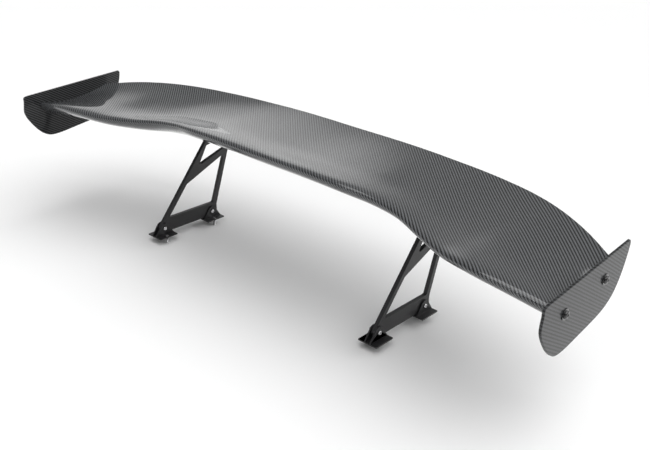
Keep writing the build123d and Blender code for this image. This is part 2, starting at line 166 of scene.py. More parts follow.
def twill_group() -> bpy.types.NodeTree:
    """Make the two-by-two twill weave.

    Returns:
        A group whose input is a place on the cloth in metres, and whose outputs are the tows'
        shade, with painted sheen on the warp tows and painted shade on the weft tows and in the
        grooves between tows, their crown height and their roughness.
    """
    graph, start, end = new_group(
        "twill_weave",
        {
            "Place": ("NodeSocketVector", None),
            "Tow Width": ("NodeSocketFloat", 0.002),
            "Warp Painted Sheen": ("NodeSocketFloat", 0.05),
            "Weft Painted Shade": ("NodeSocketFloat", 0.02),
        },
        {"Shade": "NodeSocketFloat", "Height": "NodeSocketFloat", "Roughness": "NodeSocketFloat"},
    )
    repeat, last_up, crown_power = 4.0, 1.5, 3.0
    fibre_scale, fibre_detail = 0.35, 3.0
    drift_gain, drift_floor = 0.5, 0.75
    # Tow edges keep this share of the tone: painted shade in the grooves between tows.
    groove_shade_gain, groove_painted_shade = 0.45, 0.55
    rough_gain, rough_floor = 0.12, 0.3
    scaled = graph.add("ShaderNodeVectorMath", operation="SCALE")
    graph.join(start.outputs["Place"], scaled.inputs[0])
    graph.join(graph.sum("DIVIDE", 1.0, start.outputs["Tow Width"]), scaled.inputs["Scale"])
    parts = graph.add("ShaderNodeSeparateXYZ")
    graph.join(scaled.outputs[0], parts.inputs[0])
    across, along = parts.outputs[0], parts.outputs[1]
    column, row = graph.sum("FLOOR", across), graph.sum("FLOOR", along)
    step = graph.sum("FLOORED_MODULO", graph.sum("ADD", column, row), repeat)
    warp_up = graph.sum("LESS_THAN", step, last_up)

    def crown(place: bpy.types.NodeSocket) -> bpy.types.NodeSocket:
        """Height across one tow, 1 at its middle and 0 at its edges."""
        offset = graph.sum("MULTIPLY_ADD", graph.sum("FRACT", place), 2.0, -1.0)
        fall = graph.sum("POWER", graph.sum("ABSOLUTE", offset), crown_power)
        return graph.sum("SUBTRACT", 1.0, fall)

    height = graph.blend(warp_up, crown(along), crown(across))
    # Warp tows get a much lighter tone than weft tows: painted sheen for the fibres' directional
    # reflection, with the weft tows as the painted shade side.
    painted_sheen_tone = graph.blend(warp_up, start.outputs["Weft Painted Shade"], start.outputs["Warp Painted Sheen"])
    fibres = graph.add("ShaderNodeVectorMath", operation="MULTIPLY")
    graph.join(scaled.outputs[0], fibres.inputs[0])
    fibres.inputs[1].default_value = (fibre_scale, fibre_scale, 0.0)
    drift = graph.noise(fibres.outputs[0], 1.0, fibre_detail)
    drifting = graph.sum("MULTIPLY_ADD", drift, drift_gain, drift_floor)
    sheen_and_drift_tone = graph.sum("MULTIPLY", painted_sheen_tone, drifting)
    # Darker towards each tow's edges: painted shade in the grooves between tows.
    groove_shade_factor = graph.sum("MULTIPLY_ADD", height, groove_shade_gain, groove_painted_shade)
    painted_weave_tone = graph.sum("MULTIPLY", sheen_and_drift_tone, groove_shade_factor)
    # The tone out holds the painted sheen and the painted groove shade.
    graph.join(painted_weave_tone, end.inputs["Shade"])
    graph.join(height, end.inputs["Height"])
    rough = graph.sum("MULTIPLY_ADD", drift, rough_gain, rough_floor)
    graph.join(rough, end.inputs["Roughness"])
    return graph.tree


def grain_group() -> bpy.types.NodeTree:
    """Make the fine grain shared by coated, machined and moulded surfaces.

    Returns:
        A group whose outputs are a shade between 0 and 1, a height and a roughness.
    """
    graph, start, end = new_group(
        "surface_grain",
        {
            "Place": ("NodeSocketVector", None),
            "Grain": ("NodeSocketFloat", 1500.0),
            "Cloud": ("NodeSocketFloat", 18.0),
            "Base Roughness": ("NodeSocketFloat", 0.4),
            "Spread": ("NodeSocketFloat", 0.1),
        },
        {"Shade": "NodeSocketFloat", "Height": "NodeSocketFloat", "Roughness": "NodeSocketFloat"},
    )
    fine_detail, cloud_detail = 2.0, 4.0
    middle, darkest, lightest = 0.5, 0.35, 0.65
    place = start.outputs["Place"]
    fine = graph.noise(place, start.outputs["Grain"], fine_detail)
    cloud = graph.noise(place, start.outputs["Cloud"], cloud_detail)
    spread = graph.sum("MULTIPLY", graph.sum("SUBTRACT", cloud, middle), start.outputs["Spread"])
    graph.join(graph.blend(cloud, darkest, lightest), end.inputs["Shade"])
    graph.join(fine, end.inputs["Height"])
    graph.join(graph.sum("ADD", start.outputs["Base Roughness"], spread), end.inputs["Roughness"])
    return graph.tree


@dataclass(frozen=True)
class Carbon:
    """Clear-coated twill laminate with painted sheen on its warp tows and painted shade on its weft
    tows and in the grooves between tows. Shades are linear; the tow width is in metres.
    """

    name: str
    # The warp tone is painted sheen and the weft tone painted shade: the fibre is one black, and
    # their contrast stands in for its directional reflection.
    warp_painted_sheen: float = 0.13
    weft_painted_shade: float = 0.006
    tow_width: float = 0.0021
    turn: float = 0.0
    relief: float = 0.25
    base_gloss: float = 0.12
    coat: float = 1.0
    coat_roughness: float = 0.05
    bump_depth: float = 0.0002
    tint: tuple[float, float, float] = (0.96, 1.0, 1.05)

    def make(self, groups: dict[str, bpy.types.NodeTree]) -> bpy.types.Material:
        """Build the material from the shared twill group."""
        material, graph, shader = new_material(self.name)
        place = graph.add("ShaderNodeUVMap", uv_map=CLOTH_MAP)
        turned = graph.add("ShaderNodeMapping")
        turned.inputs["Rotation"].default_value = (0.0, 0.0, self.turn)
        graph.join(place.outputs[0], turned.inputs["Vector"])
        weave = graph.add("ShaderNodeGroup", node_tree=groups["twill"])
        graph.join(turned.outputs[0], weave.inputs["Place"])
        weave.inputs["Tow Width"].default_value = self.tow_width
        # Painted sheen on the warp tows, painted shade on the weft tows.
        weave.inputs["Warp Painted Sheen"].default_value = self.warp_painted_sheen
        weave.inputs["Weft Painted Shade"].default_value = self.weft_painted_shade
        # The weave's tone carries the painted sheen and the painted shade in the grooves between
        # tows.
        colour = graph.add("ShaderNodeCombineColor")
        for index, share in enumerate(self.tint):
            graph.join(graph.sum("MULTIPLY", weave.outputs["Shade"], share), colour.inputs[index])
        graph.join(colour.outputs[0], shader.inputs["Base Color"])
        graph.join(weave.outputs["Roughness"], shader.inputs["Roughness"])
        add_bump(graph, weave.outputs["Height"], shader, self.relief, self.bump_depth)
        shader.inputs["Specular IOR Level"].default_value = self.base_gloss
        shader.inputs["Coat Weight"].default_value = self.coat
        shader.inputs["Coat Roughness"].default_value = self.coat_roughness
        return material


@dataclass(frozen=True)
class Grained:
    """A finish between two colours, with a fine grain and clouded gloss."""

    name: str
    dark: tuple[float, float, float]
    light: tuple[float, float, float]
    metallic: float = 0.0
    roughness: float = 0.4
    spread: float = 0.15
    grain: float = 1500.0
    cloud: float = 18.0
    relief: float = 0.2
    coat: float = 0.0
    bump_depth: float = 0.0001

    def make(self, groups: dict[str, bpy.types.NodeTree]) -> bpy.types.Material:
        """Build the material from the shared grain group."""
        material, graph, shader = new_material(self.name)
        place = graph.add("ShaderNodeTexCoord")
        grain = graph.add("ShaderNodeGroup", node_tree=groups["grain"])
        graph.join(place.outputs["Object"], grain.inputs["Place"])
        grain.inputs["Grain"].default_value = self.grain
        grain.inputs["Cloud"].default_value = self.cloud
        grain.inputs["Base Roughness"].default_value = self.roughness
        grain.inputs["Spread"].default_value = self.spread
        mixed = graph.add("ShaderNodeMix", data_type="RGBA")
        graph.join(grain.outputs["Shade"], mixed.inputs[0])
        mixed.inputs[6].default_value = (*self.dark, 1.0)
        mixed.inputs[7].default_value = (*self.light, 1.0)
        graph.join(mixed.outputs[2], shader.inputs["Base Color"])
        graph.join(grain.outputs["Roughness"], shader.inputs["Roughness"])
        shader.inputs["Metallic"].default_value = self.metallic
        shader.inputs["Coat Weight"].default_value = self.coat
        add_bump(graph, grain.outputs["Height"], shader, self.relief, self.bump_depth)
        return material


def new_material(name: str) -> tuple[bpy.types.Material, NodeGraph, bpy.types.Node]:
    """Start a material.

    Args:
        name: the material's name.

    Returns:
        The material, its graph and its Principled shader.
    """
    material = bpy.data.materials.new(name)
    material.use_nodes = True
    shader = material.node_tree.nodes["Principled BSDF"]
    return material, NodeGraph(material.node_tree), shader


def add_bump(
    graph: NodeGraph,
    height: bpy.types.NodeSocket,
    shader: bpy.types.Node,
    strength: float,
    distance: float,
) -> None:
    """Feed a height to the shader's normal.

    Args:
        graph: the material's graph.
        height: the height, from 0 to 1.
        shader: the shader that the normal goes to.
        strength: share of the bump, from 0 to 1.
        distance: depth of a height of 1, in metres.
    """
    bump = graph.add("ShaderNodeBump")
    bump.inputs["Strength"].default_value = strength
    bump.inputs["Distance"].default_value = distance
    graph.join(height, bump.inputs["Height"])
    graph.join(bump.outputs[0], shader.inputs["Normal"])


FINISHES = {
    "wing_carbon": Carbon("gloss_twill_wing"),
    # Weaker painted sheen on the end plates' warp tows.
    "plate_carbon": Carbon(
        "gloss_twill_plate", warp_painted_sheen=0.055, weft_painted_shade=0.003, turn=radians(-14.0), coat=0.45
    ),
    "inner_carbon": Carbon("bare_laminate", coat=0.0, relief=0.6),
    "stand": Grained(
        "satin_black_stand", (0.012, 0.012, 0.013), (0.022, 0.022, 0.023), roughness=0.38
    ),
    "foot": Grained(
        "satin_black_foot", (0.010, 0.010, 0.011), (0.020, 0.020, 0.021), roughness=0.34
    ),
    "bracket": Grained(
        "satin_black_bracket", (0.012, 0.012, 0.013), (0.022, 0.022, 0.023), roughness=0.4
    ),
    "black_fastener": Grained(
        "oiled_black_oxide",
        (0.006, 0.006, 0.006),
        (0.014, 0.014, 0.015),
        roughness=0.16,
        relief=0.05,
        coat=0.5,
    ),
    "bright_steel": Grained(
        "stainless",
        (0.55, 0.55, 0.56),
        (0.78, 0.78, 0.79),
        metallic=1.0,
        roughness=0.22,
        grain=2600.0,
    ),
    "nut_steel": Grained(
        "zinc_plate",
        (0.5, 0.51, 0.54),
        (0.7, 0.7, 0.72),
        metallic=1.0,
        roughness=0.32,
        grain=2000.0,
    ),
    "rib_aluminium": Grained(
        "machined_aluminium", (0.6, 0.61, 0.62), (0.78, 0.79, 0.8), metallic=1.0, roughness=0.35
    ),
    "insert": Grained(
        "turned_brass", (0.55, 0.4, 0.16), (0.72, 0.55, 0.26), metallic=1.0, roughness=0.3
    ),
    "hard_point": Grained(
        "resin_laminate",
        (0.2, 0.12, 0.06),
        (0.42, 0.28, 0.14),
        roughness=0.55,
        grain=400.0,
        cloud=60.0,
    ),
    "foam": Grained(
        "rigid_foam", (0.62, 0.55, 0.4), (0.8, 0.74, 0.58), roughness=0.85, grain=1200.0, relief=0.8
    ),
    "pad": Grained(
        "moulded_rubber", (0.012, 0.012, 0.012), (0.03, 0.03, 0.03), roughness=0.7, relief=0.5
    ),
}


class Finisher:
    """Makes each finish once and hands its material out by slot name."""

    def __init__(self) -> None:
        """Build the shared shader groups."""
        self.groups = {"twill": twill_group(), "grain": grain_group()}
        self.made: dict[str, bpy.types.Material] = {}

    def material(self, slot: str) -> bpy.types.Material:
        """Return the material of a slot of the record."""
        if slot not in self.made:
            self.made[slot] = FINISHES[slot].make(self.groups)
        return self.made[slot]

    def dress_nodes(self) -> None:
        """Give every CAD node the finish of its own slot."""
        for row in frame["record"]["subparts"]:
            node = frame["nodes"][row["node"]]
            material = self.material(row["material_slot"])
            if not node.material_slots:
                node.data.materials.append(material)
            for slot in node.material_slots:
                slot.material = material


# ------------------------------------------------------------------------------------------------
# Mesh helpers


def new_object(name: str, mesh: bpy.types.Mesh) -> bpy.types.Object:
    """Link a mesh into the scene as a new object."""
    piece = bpy.data.objects.new(name, mesh)
    bpy.context.scene.collection.objects.link(piece)
    return piece


def smooth(mesh: bpy.types.Mesh, crease: float = CREASE_ANGLE) -> None:
    """Shade a mesh smooth but for edges sharper than an angle."""
    mesh.shade_smooth()
    mesh.set_sharp_from_angle(angle=crease)


def place_piece(piece: bpy.types.Object, body: str, nodes: tuple[str, ...]) -> None:
    """Tell the frame what a piece is.

    Args:
        piece: the finished piece.
        body: the body that it moves with.
        nodes: the CAD nodes that it stands for.
    """
    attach(piece, body)
    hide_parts(*nodes)
    log.info("%s: %d faces, rides on %s", piece.name, len(piece.data.polygons), body)


def baked(source: bpy.types.Object, name: str) -> bpy.types.Object:
    """Turn an object and its modifiers into a plain mesh object and remove the source.

    Args:
        source: the object with modifiers.
        name: the finished object's name.

    Returns:
        The finished object.
    """
    graph = bpy.context.evaluated_depsgraph_get()
    graph.update()
    mesh = bpy.data.meshes.new_from_object(source.evaluated_get(graph), depsgraph=graph)
    mesh.name = name
    bpy.data.objects.remove(source)
    return new_object(name, mesh)


def eased_copy(
    node: str, name: str, width: float, material: bpy.types.Material
) -> bpy.types.Object:
    """Copy a CAD node with its sharp edges eased.

    Args:
        node: the CAD node.
        name: the finished object's name.
        width: width of the eased edge, in metres.
        material: its finish.

    Returns:
        The finished object, at the origin.
    """
    work = bmesh.new()
    work.from_mesh(frame["nodes"][node].data)
    bmesh.ops.remove_doubles(work, verts=work.verts, dist=MERGE_DISTANCE)
    bmesh.ops.dissolve_limit(work, angle_limit=FLAT_ANGLE, verts=work.verts, edges=work.edges)
    mesh = bpy.data.meshes.new(name)
    work.to_mesh(mesh)
    work.free()
    mesh.materials.clear()
    mesh.materials.append(material)
    mesh.shade_smooth()
    source = new_object(name + "_rough", mesh)
    bevel = source.modifiers.new("eased", "BEVEL")
    bevel.width = width
    bevel.segments = EDGE_STEPS
    bevel.limit_method = "ANGLE"
    bevel.angle_limit = EDGE_ANGLE
    bevel.use_clamp_overlap = False
    levelled = source.modifiers.new("levelled", "WEIGHTED_NORMAL")
    levelled.weight = AREA_WEIGHT
    levelled.keep_sharp = True
    return baked(source, name)


def map_cloth(mesh: bpy.types.Mesh, first: int, second: int) -> None:
    """Lay the cloth map flat on two of the mesh's own axes, in metres.

    Args:
        mesh: the mesh to map.
        first: the axis that the map's u follows.
        second: the axis that the map's v follows.
    """
    layer = mesh.uv_layers.new(name=CLOTH_MAP)
    for loop in mesh.loops:
        place = mesh.vertices[loop.vertex_index].co
        layer.data[loop.index].uv = (place[first], place[second])


# ------------------------------------------------------------------------------------------------
# Turned fasteners, set out by a geometry node tree


class Outline(Enum):
    """Shape of one ring of a turned piece."""

    ROUND = "round"
    HEX = "hex"


@dataclass(frozen=True)
class Ring:
    """One ring of a turned piece: corner radius and height in millimetres, and its outline."""

    radius: float
    height: float
    outline: Outline = Outline.ROUND

    def points(self, count: int) -> list[Vector]:
        """Return the ring's points in metres, one at the axis for a radius of nought."""
        if self.radius == 0.0:
            return [Vector((0.0, 0.0, self.height * MM))]
        places = []
        for number in range(count):
            angle = tau * number / count
            reach = self.radius
            if self.outline is Outline.HEX:
                reach *= cos(pi / 6) / cos(angle % (pi / 3) - pi / 6)
            places.append(Vector((reach * cos(angle), reach * sin(angle), self.height)) * MM)
        return places


def turned_mesh(
    name: str, rings: list[Ring], closed: bool = False, count: int = 36
) -> bpy.types.Mesh:
    """Join rings into a turned solid.

    Args:
        name: the mesh's name.
        rings: the rings in order along the profile.
        closed: whether the last ring joins the first, as on a washer.
        count: points in a ring.

    Returns:
        The solid's mesh.
    """
    work = bmesh.new()
    loops = [[work.verts.new(place) for place in ring.points(count)] for ring in rings]
    pairs = list(zip(loops, loops[1:] + loops[:1])) if closed else list(zip(loops, loops[1:]))
    for low, high in pairs:
        for number in range(count):
            after = (number + 1) % count
            if len(low) == 1:
                work.faces.new((low[0], high[after], high[number]))
            elif len(high) == 1:
                work.faces.new((low[number], low[after], high[0]))
            else:
                work.faces.new((low[number], low[after], high[after], high[number]))
    bmesh.ops.recalc_face_normals(work, faces=work.faces)
    mesh = bpy.data.meshes.new(name)
    work.to_mesh(mesh)
    work.free()
    smooth(mesh)
    return mesh


@dataclass(frozen=True)
class ButtonBolt:
    """A button-head socket screw; its seat is at nought and its head points up."""

    shank_radius: float
    head_radius: float
    head_height: float
    length: float
    socket_radius: float
    socket_depth: float
    thread_length: float = 9.0
    pitch: float = 1.0
    thread_depth: float = 0.45
    tip_inset: float = 0.8
    tip_chamfer: float = 0.7
    neck: float = 0.5
    edge_break: float = 0.15
    rim_share: float = 0.22
    socket_lip: float = 0.45
    socket_cone: float = 0.3
    dome_steps: int = 6

    def shank(self) -> list[Ring]:
        """Return the rings from the tip up to the seat."""
        tip = -self.length
        height = tip + self.tip_chamfer
        rings = [Ring(0.0, tip), Ring(self.shank_radius - self.tip_inset, tip)]
        rings.append(Ring(self.shank_radius, height))
        while height + self.pitch < min(tip + self.thread_length, -self.neck):
            rings.append(Ring(self.shank_radius - self.thread_depth, height + self.pitch / 2))
            rings.append(Ring(self.shank_radius, height + self.pitch))
            height += self.pitch
        rings.append(Ring(self.shank_radius, 0.0))
        return rings

    def rings(self) -> list[Ring]:
        """Return all the bolt's rings."""
        rim = self.head_height * self.rim_share
        edge = self.edge_break
        rings = self.shank() + [Ring(self.head_radius - edge, 0.0), Ring(self.head_radius, edge)]
        top_radius = self.socket_radius + self.socket_lip
        for step in range(self.dome_steps + 1):
            turn = step / self.dome_steps * pi / 2
            radius = top_radius + (self.head_radius - top_radius) * cos(turn)
            rings.append(Ring(radius, rim + (self.head_height - rim) * sin(turn)))
        floor = self.head_height - self.socket_depth
        rings.append(Ring(self.socket_radius, self.head_height - edge, Outline.HEX))
        rings.append(Ring(self.socket_radius, floor, Outline.HEX))
        rings.append(Ring(0.0, floor - self.socket_cone))
        return rings


@dataclass(frozen=True)
class LockNut:
    """A hexagon nut with chamfered corners and a domed collar; it sits on nought."""

    corner_radius: float
    bore_radius: float
    height: float
    shoulder_share: float = 0.72
    chamfer: float = 0.5
    collar_step: float = 0.1

    def rings(self) -> list[Ring]:
        """Return the nut's rings, from the bore round the outside."""
        flat = self.corner_radius * cos(pi / 6)
        shoulder = self.height * self.shoulder_share
        collar = flat - self.chamfer - self.collar_step
        return [
            Ring(self.bore_radius, 0.0),
            Ring(flat, 0.0),
            Ring(self.corner_radius, self.chamfer, Outline.HEX),
            Ring(self.corner_radius, shoulder - self.chamfer, Outline.HEX),
            Ring(flat, shoulder),
            Ring(flat - self.chamfer, shoulder + self.collar_step),
            Ring(collar, self.height - self.chamfer),
            Ring(collar - self.chamfer, self.height),
            Ring(self.bore_radius, self.height),
        ]


@dataclass(frozen=True)
class Washer:
    """A flat washer with eased rims; it sits on nought."""

    outer_radius: float
    bore_radius: float
    thickness: float
    rim_ease: float = 0.3

    def rings(self) -> list[Ring]:
        """Return the washer's rings, from the bore round the outside."""
        ease = min(self.rim_ease, self.thickness / 3)
        return [
            Ring(self.bore_radius, 0.0),
            Ring(self.outer_radius - ease, 0.0),
            Ring(self.outer_radius, ease),
            Ring(self.outer_radius, self.thickness - ease),
            Ring(self.outer_radius - ease, self.thickness),
            Ring(self.bore_radius, self.thickness),
        ]


class SettingOut:
    """The geometry node tree that sets one pattern piece on every point of a mesh."""

    def __init__(self) -> None:
        """Build the tree."""
        tree = bpy.data.node_groups.new("fastener_setting_out", "GeometryNodeTree")
        self.tree = tree
        self.names: dict[str, str] = {}
        for label, kind in (
            ("Points", "NodeSocketGeometry"),
            ("Pattern", "NodeSocketObject"),
            ("Size", "NodeSocketFloat"),
            ("Finish", "NodeSocketMaterial"),
        ):
            socket = tree.interface.new_socket(name=label, in_out="INPUT", socket_type=kind)
            self.names[label] = socket.identifier
        tree.interface.new_socket(name="Pieces", in_out="OUTPUT", socket_type="NodeSocketGeometry")
        graph = NodeGraph(tree)
        start, end = graph.add("NodeGroupInput"), graph.add("NodeGroupOutput")
        pattern = graph.add("GeometryNodeObjectInfo")
        heading = graph.add("GeometryNodeInputNamedAttribute", data_type="FLOAT_VECTOR")
        heading.inputs["Name"].default_value = "heading"
        turn = graph.add("FunctionNodeAlignRotationToVector", axis="Z")
        setting = graph.add("GeometryNodeInstanceOnPoints")
        realize = graph.add("GeometryNodeRealizeInstances")
        finish = graph.add("GeometryNodeSetMaterial")
        graph.join(start.outputs["Pattern"], pattern.inputs["Object"])
        graph.join(heading.outputs["Attribute"], turn.inputs["Vector"])
        graph.join(start.outputs["Points"], setting.inputs["Points"])
        graph.join(pattern.outputs["Geometry"], setting.inputs["Instance"])
        graph.join(turn.outputs[0], setting.inputs["Rotation"])
        graph.join(start.outputs["Size"], setting.inputs["Scale"])
        graph.join(setting.outputs[0], realize.inputs[0])
        graph.join(realize.outputs[0], finish.inputs["Geometry"])
        graph.join(start.outputs["Finish"], finish.inputs["Material"])
        graph.join(finish.outputs[0], end.inputs[0])

    def set_out(
        self,
        name: str,
        pattern: bpy.types.Mesh,
        seats: list[tuple[Vector, Vector]],
        material: bpy.types.Material,
    ) -> bpy.types.Object:
        """Set a pattern mesh on each seat.

        Args:
            name: the finished object's name.
            pattern: the mesh of one fastener.
            seats: the place and heading of each, in metres.
            material: their finish.

        Returns:
            One plain mesh object with all of them.
        """
        mesh = bpy.data.meshes.new(name + "_seats")
        mesh.from_pydata([tuple(place) for place, _ in seats], [], [])
        headings = mesh.attributes.new("heading", "FLOAT_VECTOR", "POINT")
        for number, (_, heading) in enumerate(seats):
            headings.data[number].vector = heading
        source = new_object(name + "_seats", mesh)
        sample = bpy.data.objects.new(name + "_pattern", pattern)
        modifier = source.modifiers.new("setting_out", "NODES")
        modifier.node_group = self.tree
        modifier[self.names["Pattern"]] = sample
        modifier[self.names["Size"]] = 1.0
        modifier[self.names["Finish"]] = material
        piece = baked(source, name)
        bpy.data.objects.remove(sample)
        return piece


# ------------------------------------------------------------------------------------------------
# Sub-assemblies


@dataclass
class WingShell:
    """The aerofoil's outer surface. Sizes are in millimetres."""

    half_span: float = 769.5
    half_tail: float = 1.7
    glue_line: float = 0.3
    half_thickness: float = 18.0
    camber_depth: float = 28.0
    camber_place: float = 0.42
    thickest_place: float = 0.28
    nose_bluntness: float = 2.72
    tail_ease: float = 0.7
    tail_corner: float = 0.3
    crease: float = radians(50.0)
    chord_points: int = 72
    span_sections: int = 241
    stations: tuple[tuple[float, ...], ...] = field(
        default=(
            (0.0, -92.0, 318.0, 258.0, 300.0),
            (150.0, -95.0, 320.0, 258.0, 300.0),
            (230.0, -89.0, 315.0, 256.0, 299.0),
            (300.0, -73.0, 304.0, 251.0, 298.0),
            (370.0, -73.0, 294.0, 243.0, 298.0),
            (450.0, -102.0, 285.0, 228.0, 298.0),
            (520.0, -136.0, 285.0, 205.0, 300.0),
            (600.0, -164.0, 291.0, 168.0, 301.0),
            (690.0, -164.0, 282.0, 114.0, 297.0),
            (769.5, -152.0, 266.0, 59.0, 286.0),
        )
    )

    def slopes(self) -> list[tuple[float, ...]]:
        """Return each station's spanwise slopes, nought at the middle of the wing."""
        rows = [(0.0,) * 4]
        for before, here, after in zip(self.stations, self.stations[1:], self.stations[2:]):
            near, far = here[0] - before[0], after[0] - here[0]
            row = []
            for k in range(1, 5):
                rise, fall = here[k] - before[k], after[k] - here[k]
                row.append((rise / near * far + fall / far * near) / (near + far))
            rows.append(tuple(row))
        inner, tip = self.stations[-2:]
        rows.append(tuple((tip[k] - inner[k]) / (tip[0] - inner[0]) for k in range(1, 5)))
        return rows

    def station_at(self, x: float) -> list[float]:
        """Return nose y, nose z, tail y and tail z at a span position."""
        span = min(abs(x), self.half_span)
        index = 0
        while index < len(self.stations) - 2 and span > self.stations[index + 1][0]:
            index += 1
        start, end = self.stations[index], self.stations[index + 1]
        width = end[0] - start[0]
        t = (span - start[0]) / width
        slopes = self.slopes()
        values = []
        for k in range(4):
            value = (2 * t**3 - 3 * t**2 + 1) * start[k + 1]
            value += (t**3 - 2 * t**2 + t) * slopes[index][k] * width
            leaving = (t**3 - t**2) * slopes[index + 1][k] * width
            value += (3 * t**2 - 2 * t**3) * end[k + 1] + leaving
            values.append(value)
        return values

    def camber_at(self, place: float) -> float:
        """Return the camber line's depth below the chord."""
        peak = self.camber_place
        if place < peak:
            return self.camber_depth * place * (2 * peak - place) / peak**2
        return self.camber_depth * (1 - 2 * peak + 2 * peak * place - place**2) / (1 - peak) ** 2

    def half_at(self, place: float) -> float:
        """Return half of the section's thickness."""
        thickest = self.thickest_place
        if place < thickest:
            nose = sqrt(1 - (1 - place / thickest) ** self.nose_bluntness)
            return self.half_thickness * nose + self.half_tail * place
        fall = ((place - thickest) / (1 - thickest)) ** 2
        return self.half_thickness * (1 - fall) + self.half_tail * place

    def section(self, x: float) -> list[Vector]:
        """Return the section's points at a span position, round from the upper tail by the nose.

        Args:
            x: the span position, in millimetres.

        Returns:
            The points in metres.
        """
        nose_y, nose_z, tail_y, tail_z = self.station_at(x)
        chord = hypot(tail_y - nose_y, tail_z - nose_z)
        along = ((tail_y - nose_y) / chord, (tail_z - nose_z) / chord)
        flat = []
        for side in (1.0, -1.0):
            row = []
            for number in range(self.chord_points):
                place = (1 - cos(pi * number / (self.chord_points - 1))) / 2
                place *= 1 - self.tail_ease / chord
                half = self.half_at(place) + self.glue_line / 2
                row.append((place * chord, side * half - self.camber_at(place)))
            base = -self.camber_at(1.0)
            ease = self.tail_ease
            half = self.half_tail + self.glue_line / 2
            corner = ease * self.tail_corner
            row.append((chord - corner, base + side * (half - corner)))
            row.append((chord, base + side * (half - ease)))
            flat.append(row)
        ordered = flat[0][::-1] + flat[1]
        points = []
        for run, rise in ordered:
            y = nose_y + run * along[0] - rise * along[1]
            z = nose_z + run * along[1] + rise * along[0]
            points.append(Vector((x, y, z)) * MM)
        return points

    def cloth_rows(self, points: list[Vector]) -> list[float]:
        """Return each point's place along the cloth, laid from the upper surface's middle."""
        lengths = [0.0]
        for before, after in zip(points, points[1:]):
            lengths.append(lengths[-1] + (after - before).length)
        middle = self.chord_points // 2
        return [points[middle].y - (length - lengths[middle]) for length in lengths]

    def build(self, finisher: Finisher) -> None:
        """Make the shell, with its cloth map and closed tips."""
        work = bmesh.new()
        cloth = work.loops.layers.uv.new(CLOTH_MAP)
        loops, rows = [], []
        for number in range(self.span_sections):
            x = self.half_span * (2 * number / (self.span_sections - 1) - 1)
            points = self.section(x)
            loops.append([work.verts.new(point) for point in points])
            rows.append(self.cloth_rows(points))
        count = len(loops[0])
        for left, right, left_rows, right_rows in zip(loops, loops[1:], rows, rows[1:]):
            for number in range(count):
                after = (number + 1) % count
                face = work.faces.new((left[number], right[number], right[after], left[after]))
                near, far = left_rows[number], right_rows[number]
                places = (near, far, right_rows[after], left_rows[after])
                if after == 0:
                    places = (near, far, far, near)
                for loop, place in zip(face.loops, places):
                    loop[cloth].uv = (loop.vert.co.x, place)
        for end in (loops[0][::-1], loops[-1]):
            cap = work.faces.new(end)
            for loop in cap.loops:
                loop[cloth].uv = (loop.vert.co.y, loop.vert.co.z)
        bmesh.ops.recalc_face_normals(work, faces=work.faces)
        mesh = bpy.data.meshes.new("wing_shell")
        work.to_mesh(mesh)
        work.free()
        mesh.materials.append(finisher.material("wing_carbon"))
        smooth(mesh, self.crease)
        shell = new_object("wing_shell", mesh)
        place_piece(shell, "wing", ("wing_upper_skin", "wing_lower_skin"))


@dataclass
class EndPlates:
    """The two end plates with their black button bolts and wide washers."""

    edge_ease: float = 0.0009
    half_span: float = 775.0
    washer: Washer = Washer(11.0, 4.0, 1.8)
    bolt: ButtonBolt = ButtonBolt(4.0, 7.5, 4.4, 17.0, 2.9, 2.4, pitch=1.25, thread_depth=0.55)
    bolt_places: tuple[tuple[float, float], ...] = ((-123.0, 256.0), (19.0, 268.0))

    def build(self, finisher: Finisher, setting: SettingOut) -> None:
        """Make both plates and set out their fasteners."""
        carbon = finisher.material("plate_carbon")
        for side, _ in SIDES:
            node = f"{side}_end_plate"
            plate = eased_copy(node, f"{side}_plate_laminate", self.edge_ease, carbon)
            map_cloth(plate.data, 1, 2)
            place_piece(plate, "wing", (node,))
        bolts, washers = [], []
        for _, sign in SIDES:
            heading = Vector((sign, 0.0, 0.0))
            for y, z in self.bolt_places:
                face = Vector((sign * self.half_span, y, z)) * MM
                washers.append((face, heading))
                bolts.append((face + heading * self.washer.thickness * MM, heading))
        black = finisher.material("black_fastener")
        pattern = turned_mesh("end_bolt", self.bolt.rings())
        place_piece(
            setting.set_out("end_button_bolts", pattern, bolts, black),
            "wing", ("end_plate_bolts",),
        )
        pattern = turned_mesh("end_washer", self.washer.rings(), closed=True)
        place_piece(
            setting.set_out("end_wide_washers", pattern, washers, black),
            "wing", ("end_plate_washers",),
        )


